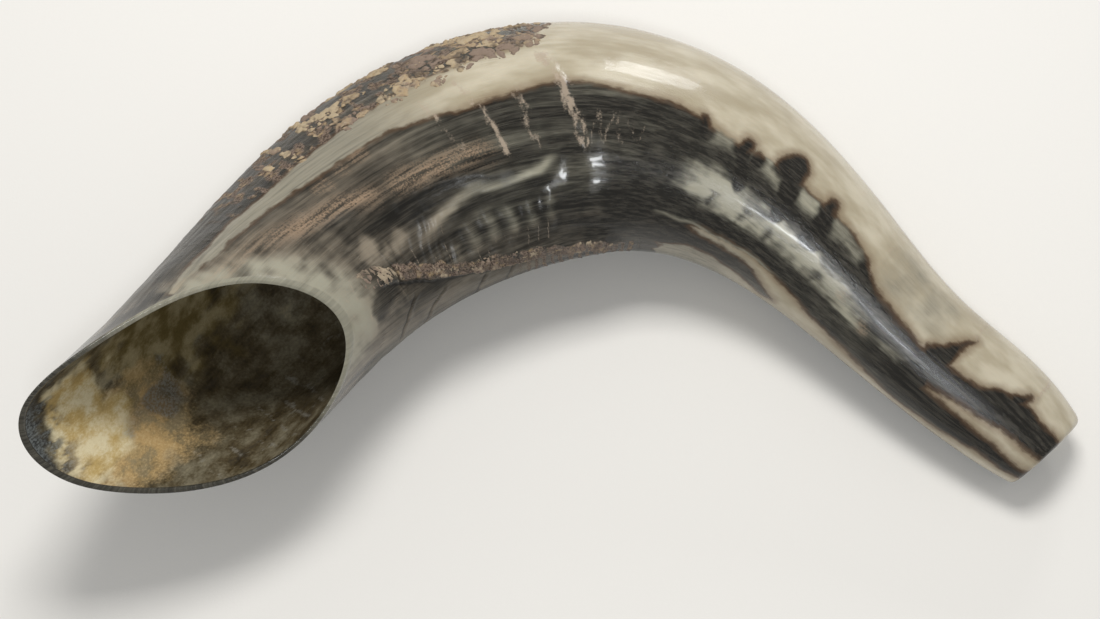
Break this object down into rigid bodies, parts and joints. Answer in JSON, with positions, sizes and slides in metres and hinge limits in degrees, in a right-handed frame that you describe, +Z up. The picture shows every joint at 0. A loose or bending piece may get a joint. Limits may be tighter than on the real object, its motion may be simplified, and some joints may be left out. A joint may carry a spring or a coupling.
{
  "type": "ram's horn shofar",
  "caption": "Curved ram's horn shofar, hollow and open at an oblique oval bell, with a drilled bore and a cup ground into the tip as its mouthpiece.",
  "frame": {"origin": "middle of the bounding box, on the surface that the horn lies on", "axes": "+Z up, +X towards the mouthpiece, +Y towards the top of the arch; the bell is at -X and opens up and towards -Y"},
  "size_m": [0.3098, 0.1514, 0.0785],
  "materials": {
    "polished_horn": "polished dark horn with cream and grey streaks",
    "tip_horn": "polished cream horn with dark streaks",
    "outer_bark": "rough, flaking outer horn, matte"
  },
  "bodies": {
    "root": {"mouthpiece": "tip_horn", "drilled_neck": "tip_horn", "growth_segment_1": "polished_horn", "growth_segment_2": "polished_horn", "growth_segment_3": "polished_horn", "growth_segment_4": "polished_horn", "throat_segment": "polished_horn", "bell": "polished_horn", "bell_rim": "polished_horn", "bark_on_keel": "outer_bark", "bark_on_face": "outer_bark", "bark_on_back_ridge": "outer_bark"}
  },
  "joints": []
}
